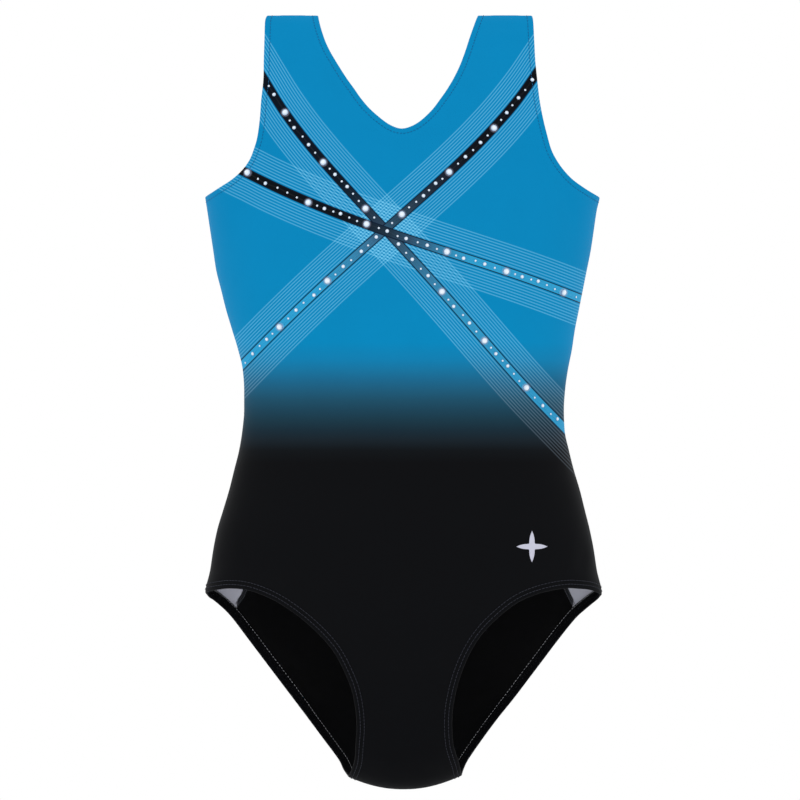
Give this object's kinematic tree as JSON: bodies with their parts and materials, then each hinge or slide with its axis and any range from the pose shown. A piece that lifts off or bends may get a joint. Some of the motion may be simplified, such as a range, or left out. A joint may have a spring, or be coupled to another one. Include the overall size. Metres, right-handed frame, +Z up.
{
  "type": "gymnastics leotard",
  "caption": "Sleeveless tank leotard of printed stretch knit with elastic hems, linings, rows of rhinestones and a hinged neck label, in its worn shape.",
  "frame": {"origin": "middle of the shoulder line, at the height of the two strap tops, where the garment hangs", "axes": "+Z up along the garment, +X to the wearer's left, front of the garment faces -Y"},
  "size_m": [0.319, 0.1577, 0.6206],
  "materials": {
    "printed_knit": "soft satin stretch knit, blue fading to black below the waist, with dark diagonal bands",
    "black_lining": "matte brushed knit",
    "elastic": "matte",
    "grey_thread": "spun polyester thread",
    "blue_thread": "spun polyester thread",
    "overlock_thread": "textured nylon thread",
    "rhinestone": "faceted, high gloss",
    "emblem_film": "satin heat-set film",
    "label_satin": "woven satin ribbon"
  },
  "bodies": {
    "garment": {"front_panel": "printed_knit", "back_panel": "printed_knit", "front_gusset_lining": "black_lining", "seat_lining": "black_lining", "neckline_elastic": "elastic", "neckline_topstitch": "blue_thread", "armhole_elastic_left": "elastic", "armhole_topstitch_left": "blue_thread", "armhole_elastic_right": "elastic", "armhole_topstitch_right": "blue_thread", "leg_elastic_left": "elastic", "leg_stitch_outer_left": "grey_thread", "leg_stitch_inner_left": "grey_thread", "leg_looper_left": "overlock_thread", "leg_elastic_right": "elastic", "leg_stitch_outer_right": "grey_thread", "leg_stitch_inner_right": "grey_thread", "leg_looper_right": "overlock_thread", "side_seam_left": "overlock_thread", "side_seam_right": "overlock_thread", "shoulder_seam_left": "overlock_thread", "shoulder_seam_right": "overlock_thread", "crotch_seam": "overlock_thread", "seat_lining_edge_left": "overlock_thread", "seat_lining_edge_right": "overlock_thread", "seat_lining_edge_top": "overlock_thread", "front_lining_edge_top": "overlock_thread", "rhinestones_a_upper": "rhinestone", "rhinestones_a_lower": "rhinestone", "rhinestones_b_upper": "rhinestone", "rhinestones_b_lower": "rhinestone", "rhinestones_c": "rhinestone", "hip_emblem": "emblem_film", "neck_label_stitch": "overlock_thread"},
    "label": {"neck_label": "label_satin"}
  },
  "joints": [
    {"name": "label_flip", "type": "hinge", "parent": "garment", "child": "label", "pos_m": [-0.003, 0.0545, -0.1655], "axis": [-1, 0, 0], "range_deg": [0, 150]}
  ]
}
